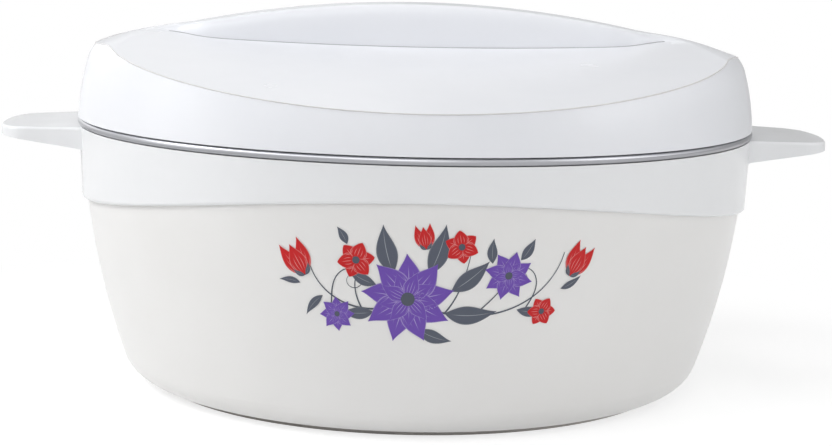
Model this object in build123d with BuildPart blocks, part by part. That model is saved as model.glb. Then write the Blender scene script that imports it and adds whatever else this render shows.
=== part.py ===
from build123d import *
from math import cos, exp, hypot, pi, radians, sin, tan
import os

# An insulated chapati casserole: a round, foam-filled plastic body with a steel bowl inside,
# a collar with two tab handles, and a foam-filled lid that lifts off by a ridge handle.
# All sizes are in millimetres. The casserole stands on z = 0 with its axis on Z. X runs from
# handle to handle, and Y from front to back. Front and back are alike.

# ---------------------------------------------------------------- driving dimensions
# Clearances
seat_gap = 0.3  # between the lid and what it rests on or passes
fit_gap = 0.15  # between two pieces pressed or snapped together
foam_gap = 0.2  # between a foam filling and the walls round it

# Overall sizes, which the rest follows
rim_radius = 135.0  # outer radius of the steel bowl's rolled edge
rim_height = 105.0  # top of the rim that the lid sits on

# Outer shell, the tapered lower body
foot_height = 1.8  # the shell's floor stands this far above the table
floor_inset = 30.6  # of the flat part of the shell's floor, inside the rim
floor_margin = 6.4  # of the shell's floor round the hole that the base plate closes
corner_radius = 13.0  # round from the floor into the wall
wall_lean = 19.0  # degrees that the wall leans out where it leaves the corner
shell_below_rim = 12.0
shell_step = 1.7  # the shell's top edge stands inside the collar's outer face
shell_wall = 2.5

# Steel bowl
bead_diameter = 2.8  # thickness of the rolled edge
rim_width = 17.0  # from the rolled edge in to the mouth
bowl_floor_setback = 4.4  # inside the flat part of the shell's floor
bowl_floor_rise = 15.7  # above the shell's floor
bowl_corner_radius = 18.0
bowl_sheet = 0.7
mouth_round = 2.4  # inner round where the bowl's wall turns out into the rim
floor_step_width = 40.0  # plain ring round the pressed disc that stiffens the bowl's floor
floor_step = 1.0

# Collar with the two tab handles
collar_step = 0.5  # the collar's top edge stands inside the rolled edge
collar_draft = 2.4  # degrees
collar_wall = 2.4
collar_side_lap = 20.0  # of the collar over the shell, under the handles
collar_front_lap = 3.7  # at front and back, where the lower edge sweeps up
collar_edge_round = 1.2
ledge_thickness = 2.2  # ring inside the collar that rests on the shell's top edge
ledge_width = 8.1
handle_length = 31.1  # from the collar's top edge to the tip of a handle
handle_root_half_width = 35.2  # at the ledge's radius, inside the collar's wall
handle_tip_half_width = 26.4
handle_tip_bow = 4.5  # how far the tip bows out between its corners
handle_corner_radius = 13.0
handle_root_depth = 9.5
handle_tip_depth = 3.3
handle_droop = 1.2  # fall of the top face from root to tip
handle_plate = 2.0  # top wall over the pockets below
handle_skirt = 2.4  # wall round the pockets
handle_rib = 1.6  # the two ribs in the pocket
handle_rib_spacing = 23.0
handle_edge_round = 1.1
handle_root_round = 1.5  # inner round where the handles' underside meets the collar

# Base plate and the plug in its filling hole
foot_setback = 0.9  # inside the flat part of the shell's floor
foot_ring_width = 7.0
base_panel_height = 1.0  # the panel inside the foot ring is clear of the table
base_panel = 2.0
spigot_wall = 2.0
spigot_height = 6.0
filling_hole_radius = 8.0
plug_flange_width = 3.0
plug_flange = 0.7
plug_depth = 6.0

# Lid cover: wall
lid_wall_lean = 2.3  # degrees that the wall leans in at its lower edge
lid_wall_bulge = 94.0  # radius of the wall's own arc
lid_wall_turn = 14.2  # degrees of that arc
shoulder_radius = 13.0
shoulder_turn = 33.5  # degrees
lid_wall = 2.5
lid_edge_setback = 0.2  # the wall's lower edge stands just inside the steel rim
crease_round = 1.2  # round between the wall and the top

# Lid cover: top, two shallow scoops that slope down to front and back
scoop_rise = 31.0  # of the scoops on the axis, under the ridge, above the lid's seat
scoop_slope = 0.124  # fall per millimetre towards front and back
scoop_curve = 1650.0  # radius of their hollow from side to side

# Lid cover: the ridge that is the lid's handle, and the rounded crests that it runs out into
ridge_rise = 15.0  # of the ridge's top above the scoops, on the axis
ridge_arch = 426.0  # radius of its arched top line
ridge_half_width = 14.2
ridge_fullness = 16.0  # exponent of its section: higher is squarer
prow_setback = 43.8  # from the lid's edge in to the middle of the ridge's tapering end
prow_taper = 4.0  # how gradually the end tapers and its section softens
prow_half_width = 2.5
crest_radius = 106.0  # arched top line of a crest
crest_setback = 49.6  # of a crest's highest point inside the lid's edge
crest_rise = 5.3  # of a crest's highest point above the scoops on the axis
crest_blend = 0.6  # softens the meeting of the ridge's top line with the crests'
crest_length = 25.8  # from the lid's edge in to where a crest opens out
crest_spread = 5.5  # how fast it opens out
crest_round = 5.0

# Lid liner, the inner plate
liner_wall = 2.0
liner_depth = 12.0  # how far it reaches down into the bowl
liner_draft = 8.0  # degrees
liner_side_gap = 2.0  # between the liner and the bowl's mouth
liner_round = 4.0
stop_height = 1.6  # rib inside the cover that the liner's flange snaps up against
stop_width = 1.8

# ---------------------------------------------------------------- sizes worked out
floor_radius = rim_radius - floor_inset
lid_seat = rim_height + seat_gap
lid_foot_radius = rim_radius - lid_edge_setback
collar_top = rim_height - bead_diameter - fit_gap
collar_top_radius = rim_radius - collar_step
collar_inner_radius = collar_top_radius - collar_wall
shell_top = rim_height - shell_below_rim
shell_top_radius = collar_top_radius - shell_step
ledge_bottom = shell_top + fit_gap
ledge_top = ledge_bottom + ledge_thickness
ledge_radius = collar_inner_radius - ledge_width
handle_reach = collar_top_radius + handle_length
floor_opening = floor_radius - floor_margin
foot_radius = floor_radius - foot_setback
bowl_mouth_radius = rim_radius - rim_width
bowl_floor_radius = floor_radius - bowl_floor_setback
bowl_floor_height = foot_height + bowl_floor_rise
floor_step_radius = bowl_floor_radius - floor_step_width
scoop_height = lid_seat + scoop_rise
ridge_top = scoop_height + ridge_rise
crest_height = scoop_height + crest_rise
prow_middle = lid_foot_radius - prow_setback
crest_top = lid_foot_radius - crest_setback
crest_start = lid_foot_radius - crest_length
liner_top = lid_seat + liner_wall
stop_bottom = liner_top + fit_gap
far = 2 * handle_reach  # well outside the casserole
over_lid = 1.1 * ridge_top  # a little above the lid


# ---------------------------------------------------------------- shared forms
def shell_form(inset):
    """Solid of revolution inside the body's tapered wall, inset from its outer face."""
    centre_height = foot_height + corner_radius
    round_radius = corner_radius - inset
    lean = radians(wall_lean)
    wall_foot = (floor_radius + round_radius * cos(lean), centre_height - round_radius * sin(lean))
    floor_height = foot_height + inset
    with BuildPart() as form:
        with BuildSketch(Plane.XZ):
            with BuildLine():
                Polyline((0, shell_top), (0, floor_height), (floor_radius, floor_height))
                JernArc((floor_radius, floor_height), (1, 0), round_radius, 90 - wall_lean)
                TangentArc(wall_foot, (shell_top_radius - inset, shell_top), tangent=(sin(lean), cos(lean)))
                Line((shell_top_radius - inset, shell_top), (0, shell_top))
            make_face()
        revolve(axis=Axis.Z)
    return form.part


def bowl_form(grow):
    """Solid that fills the steel bowl up to its rim, grown outwards from the inner face."""
    floor = bowl_floor_height - grow
    step = floor + floor_step
    slope = (bowl_mouth_radius - bowl_floor_radius) / (rim_height - bowl_floor_height)
    wall_grow = grow * hypot(1, slope)
    floor_edge = bowl_floor_radius + wall_grow - grow * slope
    with BuildPart() as form:
        with BuildSketch(Plane.XZ):
            with BuildLine():
                Polyline(
                    (0, rim_height),
                    (0, step),
                    (floor_step_radius, step),
                    (floor_step_radius + 2 * floor_step, floor),
                    (floor_edge, floor),
                    (bowl_mouth_radius + wall_grow, rim_height),
                    (0, rim_height),
                )
            make_face()
        revolve(axis=Axis.Z)
        corner = form.edges().filter_by(GeomType.CIRCLE).filter_by(lambda e: abs(e.radius - floor_edge) < 1e-3)
        fillet(corner, bowl_corner_radius + grow)
    return form.part


def disc(radius, low, top):
    """Upright solid cylinder on the axis between two heights."""
    with BuildPart() as form:
        with BuildSketch(Plane.XY.offset(low)):
            Circle(radius)
        extrude(amount=top - low)
    return form.part


def lid_envelope(inset):
    """Solid of revolution inside the lid's wall and shoulder, open towards the top."""
    lean = radians(lid_wall_lean)
    foot = (lid_foot_radius - inset, lid_seat)
    with BuildPart() as form:
        with BuildSketch(Plane.YZ):
            with BuildLine():
                wall = JernArc(foot, (-sin(lean), cos(lean)), lid_wall_bulge - inset, lid_wall_turn)
                shoulder = JernArc(wall @ 1, wall % 1, shoulder_radius - inset, shoulder_turn)
                slant = shoulder % 1
                inner = (shoulder @ 1).X + slant.X / slant.Y * (over_lid - (shoulder @ 1).Y)
                Polyline(shoulder @ 1, (inner, over_lid), (0, over_lid), (0, lid_seat), foot)
            make_face()
        revolve(axis=Axis.Z)
    return form.part


def scoop_level(x, y):
    """Height of the lid's scooped top at a place in plan."""
    return scoop_height - scoop_slope * abs(y) + x * x / (2 * scoop_curve)


def ridge_section(x):
    """Half width, top, foot and fullness of the ridge's cross-section at distance x."""
    out = abs(x)
    squareness = 1 / (1 + exp((out - prow_middle) / prow_taper))
    ridge_line = ridge_top - out**2 / (2 * ridge_arch)
    crest_line = crest_height - (out - crest_top) ** 2 / (2 * crest_radius)
    top = (ridge_line + crest_line + hypot(ridge_line - crest_line, crest_blend)) / 2
    past_start = out - crest_start
    spread = crest_spread / 2 * (past_start + hypot(past_start, crest_round))
    half_width = prow_half_width + (ridge_half_width - prow_half_width) * squareness + spread
    foot = scoop_level(x, half_width)
    fullness = 2 + (ridge_fullness - 2) * squareness
    return half_width, top, foot, fullness


def top_form(inset):
    """Block under the lid's top, inset from it, lofted through cross-sections along X."""
    stations = [0, 0.25, 0.42, 0.54, 0.6, 0.65, 0.69, 0.73, 0.77, 0.81, 0.86, 0.93, 1.0, 1.07, 1.14]
    places = [share * lid_foot_radius for share in stations]
    places = [-place for place in reversed(places[1:])] + places
    steps = 6
    with BuildPart() as form:
        for x in places:
            half_width, top, foot, fullness = ridge_section(x)
            side = half_width + rim_radius
            side_height = foot - inset - scoop_slope * rim_radius
            half_width -= inset
            arch = []
            for step in range(steps + 1):
                turn = pi / 2 * (step / steps) ** 2
                rise = (top - foot) * cos(turn) ** 2
                arch.append((half_width * sin(turn) ** (2 / fullness), foot - inset + rise))
            arch = [(-y, z) for y, z in reversed(arch[1:])] + arch
            with BuildSketch(Plane.YZ.offset(x)):
                with BuildLine():
                    Spline(arch)
                    Polyline(arch[-1], (side, side_height), (side, 0))
                    Polyline((side, 0), (-side, 0), (-side, side_height), arch[0])
                make_face()
        loft()
    return form.part


def lid_form(inset, seat):
    """Everything inside the lid's outer face, inset from it, down to a height."""
    envelope = lid_envelope(inset)
    top = top_form(inset)
    with BuildPart() as form:
        add(top)
        add(envelope, mode=Mode.INTERSECT)
        split(bisect_by=Plane.XY.offset(seat), keep=Keep.TOP)
    return form.part


# ---------------------------------------------------------------- outer shell
shell_outside = shell_form(0)
shell_inside = shell_form(shell_wall)

with BuildPart() as outer_shell:
    add(shell_outside)
    add(shell_inside, mode=Mode.SUBTRACT)
    with BuildSketch(Plane.XY):
        Circle(floor_opening)
    extrude(amount=foot_height + 2 * shell_wall, mode=Mode.SUBTRACT)

# ---------------------------------------------------------------- steel bowl
bowl_outside = bowl_form(bowl_sheet)
bowl_inside = bowl_form(0)
bead_radius = bead_diameter / 2

with BuildPart() as inner_bowl:
    add(bowl_outside)
    with BuildSketch(Plane.XY.offset(rim_height - bowl_sheet)):
        Circle(rim_radius - bead_radius)
    extrude(amount=bowl_sheet)
    under_rim = inner_bowl.edges().filter_by(GeomType.CIRCLE).group_by(Axis.Z)[-2].sort_by(SortBy.RADIUS)[0]
    fillet(under_rim, mouth_round - bowl_sheet)
    add(bowl_inside, mode=Mode.SUBTRACT)
    mouth = inner_bowl.edges().filter_by(GeomType.CIRCLE).group_by(Axis.Z)[-1].sort_by(SortBy.RADIUS)[0]
    fillet(mouth, mouth_round)
    with BuildSketch(Plane.XZ):
        with Locations((rim_radius - bead_radius, rim_height - bead_radius)):
            Circle(bead_radius)
    revolve(axis=Axis.Z)

# ---------------------------------------------------------------- collar with handles
shell_clearance = shell_form(-fit_gap)
shell_neck = disc(shell_top_radius + fit_gap, shell_top, ledge_bottom)

with BuildPart() as handle_tab:
    root = ledge_radius
    with BuildSketch(Plane.XZ):
        with BuildLine():
            Polyline(
                (root, collar_top),
                (handle_reach, collar_top - handle_droop),
                (handle_reach, collar_top - handle_droop - handle_tip_depth),
                (root, collar_top - handle_root_depth),
                close=True,
            )
        make_face()
    extrude(amount=2 * handle_root_half_width, both=True)
    with BuildSketch(Plane.XY) as tab_plan:
        with BuildLine():
            tip = handle_reach - handle_tip_bow
            Polyline((tip, -handle_tip_half_width), (root, -handle_root_half_width))
            Line((root, -handle_root_half_width), (root, handle_root_half_width))
            Polyline((root, handle_root_half_width), (tip, handle_tip_half_width))
            ThreePointArc((tip, handle_tip_half_width), (handle_reach, 0), (tip, -handle_tip_half_width))
        make_face()
        fillet(tab_plan.vertices().sort_by(Axis.X)[-2:], handle_corner_radius)
    extrude(amount=over_lid, mode=Mode.INTERSECT)
    top_face = handle_tab.faces().sort_by(Axis.Z)[-1]
    fillet(top_face.edges().sort_by(Axis.X)[1:], handle_edge_round)
    with BuildSketch(Plane.XY.offset(collar_top - handle_droop - handle_plate)) as pockets:
        add(tab_plan.sketch)
        offset(amount=-handle_skirt, kind=Kind.ARC)
        pocket_start = collar_top_radius + handle_skirt
        with Locations((pocket_start, 0)):
            Rectangle(far, far, align=(Align.MAX, Align.CENTER), mode=Mode.SUBTRACT)
        with GridLocations(0, handle_rib_spacing, 1, 2):
            Rectangle(far, handle_rib, mode=Mode.SUBTRACT)
    extrude(amount=-handle_root_depth, mode=Mode.SUBTRACT)


def under_handle_root(edge):
    """Tell whether an edge lies where a handle's underside meets the collar's outer wall."""
    middle = edge.position_at(0.5)
    return middle.Z < ledge_top and collar_inner_radius < hypot(middle.X, middle.Y) < collar_top_radius


with BuildPart() as handle_collar:
    drop = collar_top - shell_top / 2
    with BuildSketch(Plane.XZ):
        with BuildLine():
            Polyline(
                (0, collar_top),
                (collar_top_radius, collar_top),
                (collar_top_radius - drop * tan(radians(collar_draft)), collar_top - drop),
                (0, collar_top - drop),
                close=True,
            )
        make_face()
    revolve(axis=Axis.Z)
    add(handle_tab.part)
    mirror(handle_tab.part, about=Plane.YZ)
    add(shell_clearance, mode=Mode.SUBTRACT)
    add(shell_neck, mode=Mode.SUBTRACT)
    with BuildSketch(Plane.XY.offset(shell_top - fit_gap)):
        Circle(ledge_radius)
    extrude(amount=far, mode=Mode.SUBTRACT)
    with BuildSketch(Plane.XY.offset(ledge_top)):
        Circle(collar_inner_radius)
    extrude(amount=far, mode=Mode.SUBTRACT)
    with BuildSketch(Plane.YZ):
        with BuildLine():
            ThreePointArc(
                (-collar_top_radius, shell_top - collar_front_lap),
                (0, shell_top - collar_side_lap),
                (collar_top_radius, shell_top - collar_front_lap),
            )
            Polyline(
                (collar_top_radius, shell_top - collar_front_lap),
                (collar_top_radius, 0),
                (-collar_top_radius, 0),
                (-collar_top_radius, shell_top - collar_front_lap),
            )
        make_face()
    extrude(amount=far, both=True, mode=Mode.SUBTRACT)
    lower_edge = handle_collar.edges().filter_by(GeomType.BSPLINE).sort_by(SortBy.LENGTH)[-1]
    fillet(lower_edge, collar_edge_round)
    root_edges = handle_collar.edges().filter_by(GeomType.ELLIPSE).filter_by(under_handle_root)
    fillet(root_edges, handle_root_round)

# ---------------------------------------------------------------- base plate and plug
panel_top = base_panel_height + base_panel
spigot_radius = floor_opening - fit_gap

with BuildPart() as base_plate:
    with BuildSketch(Plane.XY):
        Circle(foot_radius)
        Circle(foot_radius - foot_ring_width, mode=Mode.SUBTRACT)
    extrude(amount=foot_height)
    with BuildSketch(Plane.XY.offset(base_panel_height)):
        Circle(spigot_radius)
        Circle(filling_hole_radius, mode=Mode.SUBTRACT)
    extrude(amount=base_panel)
    with BuildSketch(Plane.XY.offset(base_panel_height)):
        Circle(spigot_radius)
        Circle(spigot_radius - spigot_wall, mode=Mode.SUBTRACT)
    extrude(amount=spigot_height)

plug_radius = filling_hole_radius - fit_gap

with BuildPart() as filling_plug:
    with BuildSketch(Plane.XY.offset(base_panel_height)):
        Circle(plug_radius)
    extrude(amount=plug_depth)
    with BuildSketch(Plane.XY.offset(base_panel_height - plug_flange)):
        Circle(filling_hole_radius + plug_flange_width)
    extrude(amount=plug_flange)

# ---------------------------------------------------------------- body insulation
foam_floor = panel_top + foam_gap
foam_top = rim_height - bowl_sheet - foam_gap
body_foam_form = shell_form(shell_wall + foam_gap)
floor_foam = disc(floor_opening - spigot_wall - 2 * fit_gap - foam_gap, foam_floor, spigot_height + foot_height)
neck_foam = disc(ledge_radius - foam_gap, shell_top - foam_gap, foam_top)
ring_foam = disc(collar_inner_radius - foam_gap, ledge_top + foam_gap, foam_top)
bowl_clearance = bowl_form(bowl_sheet + foam_gap)
mouth_relief = disc(bowl_mouth_radius + bowl_sheet + mouth_round, foam_top - mouth_round, rim_height)
plug_pocket = disc(plug_radius + foam_gap, 0, base_panel_height + plug_depth + foam_gap)
spigot_top = base_panel_height + spigot_height + foam_gap

with BuildPart() as body_insulation:
    add(body_foam_form)
    with BuildSketch(Plane.XY):
        Circle(floor_opening + foam_gap)
    extrude(amount=spigot_top, mode=Mode.SUBTRACT)
    add(floor_foam)
    add(neck_foam)
    add(ring_foam)
    add(bowl_clearance, mode=Mode.SUBTRACT)
    add(mouth_relief, mode=Mode.SUBTRACT)
    add(plug_pocket, mode=Mode.SUBTRACT)

# ---------------------------------------------------------------- lid cover
lid_outside = lid_form(0, lid_seat)
lid_cavity = lid_form(lid_wall, lid_seat)


def on_lid_wall(edge):
    """Tell whether an edge lies where the lid's wall meets its top."""
    middle = edge.position_at(0.5)
    return hypot(middle.X, middle.Y) > crest_start and middle.Z > liner_top


with BuildPart() as lid_cover:
    add(lid_outside)
    top_edges = lid_cover.edges().filter_by(GeomType.CIRCLE, reverse=True)
    fillet(top_edges.filter_by(on_lid_wall), crease_round)
    add(lid_cavity, mode=Mode.SUBTRACT)
    with BuildSketch(Plane.XY.offset(stop_bottom)):
        Circle(lid_foot_radius - lid_wall / 2)
        Circle(lid_foot_radius - lid_wall - stop_width, mode=Mode.SUBTRACT)
    extrude(amount=stop_height)

# ---------------------------------------------------------------- lid liner
plug_mouth = bowl_mouth_radius - liner_side_gap
plug_low = lid_seat - liner_depth
plug_floor_radius = plug_mouth - liner_depth * tan(radians(liner_draft))


def liner_form(inset):
    """Tapered dish that plugs the bowl's mouth, inset from its outer face."""
    low = plug_low + inset
    with BuildPart() as form:
        with BuildSketch(Plane.XZ):
            with BuildLine():
                Polyline(
                    (0, low), (plug_floor_radius - inset, low), (plug_mouth - inset, liner_top), (0, liner_top), close=True
                )
            make_face()
        revolve(axis=Axis.Z)
        fillet(form.edges().filter_by(GeomType.CIRCLE).group_by(Axis.Z)[0], liner_round - inset)
    return form.part


liner_outside = liner_form(0)
liner_inside = liner_form(liner_wall)

with BuildPart() as lid_liner:
    add(liner_outside)
    with BuildSketch(Plane.XY.offset(lid_seat)):
        Circle(lid_foot_radius - lid_wall - fit_gap)
    extrude(amount=liner_wall)
    add(liner_inside, mode=Mode.SUBTRACT)

# ---------------------------------------------------------------- lid insulation
foam_form = lid_form(lid_wall + foam_gap, stop_bottom)
dish_foam = liner_form(liner_wall + foam_gap)
dish_neck = disc(plug_mouth - liner_wall - 2 * foam_gap, liner_top - foam_gap, stop_bottom + foam_gap)

with BuildPart() as lid_insulation:
    add(foam_form)
    with BuildSketch(Plane.XY.offset(stop_bottom)):
        Circle(rim_radius)
        Circle(lid_foot_radius - lid_wall - stop_width - foam_gap, mode=Mode.SUBTRACT)
    extrude(amount=stop_height + foam_gap, mode=Mode.SUBTRACT)
    add(dish_neck)
    add(dish_foam)

# ---------------------------------------------------------------- write the parts
pieces = {
    "lid_cover": lid_cover,
    "lid_insulation": lid_insulation,
    "lid_liner": lid_liner,
    "inner_bowl": inner_bowl,
    "handle_collar": handle_collar,
    "outer_shell": outer_shell,
    "body_insulation": body_insulation,
    "base_plate": base_plate,
    "filling_plug": filling_plug,
}

os.makedirs("parts", exist_ok=True)
for name, piece in pieces.items():
    piece.part.label = name
    export_step(piece.part, f"parts/{name}.step")
    print(name, round(piece.part.volume), len(piece.part.solids()))
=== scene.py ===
"""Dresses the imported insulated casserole: white moulded plastic, a steel bowl and a floral print.

The casserole stands on z = 0 with its axis on Z, X from handle to handle and the front towards -Y.
Finishes and the studio are given in metres, with MM for millimetres, and the modelled and printed
pieces in millimetres. An azimuth is in degrees round the axis, from 0 at the front to 90 at the
handle towards +X.
"""

from __future__ import annotations

import logging
import math
from dataclasses import dataclass, replace
from enum import Enum, IntEnum
from typing import Any, Sequence

import bpy
from mathutils import Matrix, Vector

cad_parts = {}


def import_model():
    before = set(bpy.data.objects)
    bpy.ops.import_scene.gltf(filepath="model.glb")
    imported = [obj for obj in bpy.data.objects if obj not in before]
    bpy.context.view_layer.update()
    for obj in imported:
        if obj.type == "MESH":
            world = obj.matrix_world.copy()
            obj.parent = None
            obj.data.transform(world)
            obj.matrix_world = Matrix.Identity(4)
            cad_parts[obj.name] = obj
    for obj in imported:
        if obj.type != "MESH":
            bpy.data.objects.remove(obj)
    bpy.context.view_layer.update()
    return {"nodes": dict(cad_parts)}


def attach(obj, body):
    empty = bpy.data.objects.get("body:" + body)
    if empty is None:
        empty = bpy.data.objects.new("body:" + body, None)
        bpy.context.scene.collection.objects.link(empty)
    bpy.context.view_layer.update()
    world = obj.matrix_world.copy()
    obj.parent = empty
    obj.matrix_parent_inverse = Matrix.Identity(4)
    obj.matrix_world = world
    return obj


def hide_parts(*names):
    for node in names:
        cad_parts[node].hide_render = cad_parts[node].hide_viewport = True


Colour = tuple[float, float, float]
Place = tuple[float, float, float]
Point = tuple[float, float]
Range = tuple[float, float]

LOG = logging.getLogger("casserole")
MM = 0.001
WELD = 1e-6  # vertices nearer than this are merged, in metres
UP = Vector((0, 0, 1))
NOISE_MIDDLE = 0.5
ROUND_ARCH = 2  # exponent of an arch that is half an ellipse; a higher one is squarer


# ---------------------------------------------------------------- shader maths
class Wire:
    """A shader socket that takes part in Python arithmetic."""

    def __init__(self, graph: Graph, socket: Any) -> None:
        """Keeps the graph and the output socket that carries the value."""
        self.graph = graph
        self.socket = socket

    def _math(self, operation: str, *values: Any) -> Wire:
        """Output of a Math node over these values."""
        return self.graph.add("ShaderNodeMath", {"operation": operation}, dict(enumerate(values)))

    def __add__(self, other: Any) -> Wire:
        """Sum."""
        return self._math("ADD", self, other)

    __radd__ = __add__

    def __sub__(self, other: Any) -> Wire:
        """Difference."""
        return self._math("SUBTRACT", self, other)

    def __rsub__(self, other: Any) -> Wire:
        """Difference with this value taken away."""
        return self._math("SUBTRACT", other, self)

    def __mul__(self, other: Any) -> Wire:
        """Product."""
        return self._math("MULTIPLY", self, other)

    __rmul__ = __mul__

    def __pow__(self, other: Any) -> Wire:
        """Power."""
        return self._math("POWER", self, other)

    def __rpow__(self, other: Any) -> Wire:
        """Power with this value as the exponent."""
        return self._math("POWER", other, self)

    def size(self) -> Wire:
        """Absolute value."""
        return self._math("ABSOLUTE", self)

    def folded(self, width: float) -> Wire:
        """Value that runs to and fro between 0 and a width."""
        return self._math("PINGPONG", self, width)

    def clamped(self) -> Wire:
        """Value held between 0 and 1."""
        return self.graph.add("ShaderNodeClamp", {}, {"Value": self})

    def step(self, low: float, high: float) -> Wire:
        """Smooth step from 0 at low to 1 at high, where low may be the larger."""
        values = {"Value": self, "From Min": low, "From Max": high}
        return self.graph.add("ShaderNodeMapRange", {"interpolation_type": "SMOOTHSTEP"}, values)


class Graph:
    """Builds one node tree."""

    MIX_FIRST, MIX_SECOND, MIX_RESULT = 6, 7, 2  # a Mix node's colour sockets

    def __init__(self, tree: bpy.types.NodeTree) -> None:
        """Empties the tree that it builds on."""
        self.tree = tree
        self.tree.nodes.clear()

    def add(
        self, kind: str, settings: dict[str, Any], values: dict[Any, Any], output: Any = 0
    ) -> Wire | None:
        """Adds one node.

        Args:
            kind: The node's type.
            settings: The node's own settings, which are set first.
            values: Values or links for its input sockets, by name or index.
            output: The output socket to return, by name or index.

        Returns:
            The chosen output, or None from a node that has none.
        """
        node = self.tree.nodes.new(kind)
        for name, value in settings.items():
            setattr(node, name, value)
        for name, value in values.items():
            if isinstance(value, Wire):
                self.tree.links.new(value.socket, node.inputs[name])
            else:
                node.inputs[name].default_value = value
        return Wire(self, node.outputs[output]) if node.outputs else None

    def mix(self, share: Any, first: Any, second: Any) -> Wire:
        """Mixes two colours.

        Args:
            share: Share of the second colour, from 0 to 1.
            first: A colour or a link.
            second: A colour or a link.

        Returns:
            The mixed colour.
        """
        values = {"Factor": share, self.MIX_FIRST: _rgba(first), self.MIX_SECOND: _rgba(second)}
        return self.add("ShaderNodeMix", {"data_type": "RGBA"}, values, self.MIX_RESULT)

    def blend(self, share: Wire, first: Wire, second: Wire) -> Wire:
        """Mixes two shaders by the share of the second."""
        return self.add("ShaderNodeMixShader", {}, {0: share, 1: first, 2: second})

    def place(self) -> Wire:
        """Object coordinates."""
        return self.add("ShaderNodeTexCoord", {}, {}, "Object")

    def axes(self, vector: Wire) -> list[Wire]:
        """The three numbers of a vector."""
        first = self.add("ShaderNodeSeparateXYZ", {}, {"Vector": vector})
        return [Wire(self, socket) for socket in first.socket.node.outputs]

    def noise(self, size: float, detail: float, stretch: Place = (1.0, 1.0, 1.0)) -> Wire:
        """Noise over the piece.

        Args:
            size: Width of one patch, in metres.
            detail: Number of finer octaves.
            stretch: Frequency along each axis, relative to size.

        Returns:
            A value around NOISE_MIDDLE.
        """
        scaled = self.add("ShaderNodeMapping", {}, {"Vector": self.place(), "Scale": stretch})
        return self.noise_at(scaled, size, detail)

    def noise_at(self, place: Wire, size: float, detail: float) -> Wire:
        """Noise read at a place of its own, with patches of a size in metres."""
        values = {"Vector": place, "Scale": 1.0 / size, "Detail": detail}
        return self.add("ShaderNodeTexNoise", {}, values, "Fac")

    def bump(self, height: Wire, depth: float) -> Wire:
        """Normal bent by a relief with heights from 0 to 1 and a depth in metres."""
        values = {"Height": height, "Distance": depth, "Strength": 1.0}
        return self.add("ShaderNodeBump", {}, values)

    def seen_directly(self) -> Wire:
        """Tells the rays that see a thing from those that light the casserole.

        Returns:
            1 for camera, glossy and transmission rays, and 0 for the rest.
        """
        rays = ("Is Camera Ray", "Is Glossy Ray", "Is Transmission Ray")
        camera, glossy, through = (self.add("ShaderNodeLightPath", {}, {}, ray) for ray in rays)
        return (camera + glossy + through).clamped()


class MaterialGraph(Graph):
    """Builds one material."""

    def __init__(self, name: str) -> None:
        """Starts an empty material.

        Args:
            name: The material's name.
        """
        self.material = bpy.data.materials.new(name)
        self.material.use_nodes = True
        super().__init__(self.material.node_tree)

    def close(self, surface: Wire) -> bpy.types.Material:
        """Gives the material its surface and returns it."""
        self.add("ShaderNodeOutputMaterial", {}, {"Surface": surface})
        return self.material

    def finish(self, sockets: dict[str, Any]) -> bpy.types.Material:
        """Closes the material with a Principled shader that has these values or links."""
        return self.close(self.add("ShaderNodeBsdfPrincipled", {}, sockets))


def _rgba(colour: Any) -> Any:
    """Colour with its alpha, or the link that it already is."""
    return colour if isinstance(colour, Wire) else (*colour, 1.0)


def _grey(shade: float) -> tuple[float, float, float, float]:
    """Grey with its alpha."""
    return shade, shade, shade, 1.0


def _darker(colour: Colour, share: float) -> tuple[float, ...]:
    """Colour at a share of its brightness."""
    return tuple(share * value for value in colour)


# ---------------------------------------------------------------- finishes
@dataclass(frozen=True)
class MouldedPlastic:
    """Satin moulded plastic with faint clouding, flow marks in its gloss and an orange peel."""

    name: str
    colour: Colour
    cloud_colour: Colour
    roughness: float = 0.26
    specular: float = 0.35
    cloud_size: float = 45 * MM
    cloud_edges: Range = (0.3, 0.75)
    flow_size: float = 18 * MM
    flow_stretch: Place = (1.0, 1.0, 0.35)
    flow_spread: float = 0.06
    peel_size: float = 2.2 * MM
    peel_depth: float = 0.004 * MM

    def build(self) -> bpy.types.Material:
        """Builds the plastic.

        Returns:
            The material.
        """
        graph = MaterialGraph(self.name)
        cloud = graph.noise(self.cloud_size, detail=3.0).step(*self.cloud_edges)
        flow = graph.noise(self.flow_size, detail=4.0, stretch=self.flow_stretch)
        peel = graph.noise(self.peel_size, detail=1.0)
        return graph.finish(
            {
                "Base Color": graph.mix(cloud, self.colour, self.cloud_colour),
                "Roughness": self.roughness + (flow - NOISE_MIDDLE) * self.flow_spread,
                "Specular IOR Level": self.specular,
                "Normal": graph.bump(peel, self.peel_depth),
            }
        )


@dataclass(frozen=True)
class SpunSteel:
    """Stainless steel with fine lines round the axis."""

    name: str
    colour: Colour = (0.39, 0.395, 0.418)
    shade: float = 0.8
    shade_share: float = 0.25
    roughness: float = 0.34
    roughness_spread: float = 0.12
    line_size: float = 0.5 * MM
    line_drift: float = 0.02
    line_depth: float = 0.002 * MM
    cloud_size: float = 25 * MM

    def build(self) -> bpy.types.Material:
        """Builds the steel.

        Returns:
            The material.
        """
        graph = MaterialGraph(self.name)
        x, y, z = graph.axes(graph.place())
        radius = (x * x + y * y) ** 0.5
        rings = {"X": radius, "Y": z, "Z": x * self.line_drift}
        turned = graph.add("ShaderNodeCombineXYZ", {}, rings)
        lines = graph.noise_at(turned, self.line_size, detail=2.0)
        cloud = graph.noise(self.cloud_size, detail=2.0)
        shading = lines * self.shade_share + cloud * self.shade_share
        return graph.finish(
            {
                "Base Color": graph.mix(shading, self.colour, _darker(self.colour, self.shade)),
                "Metallic": 1.0,
                "Roughness": self.roughness + (lines - NOISE_MIDDLE) * self.roughness_spread,
                "Normal": graph.bump(lines, self.line_depth),
            }
        )


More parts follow.
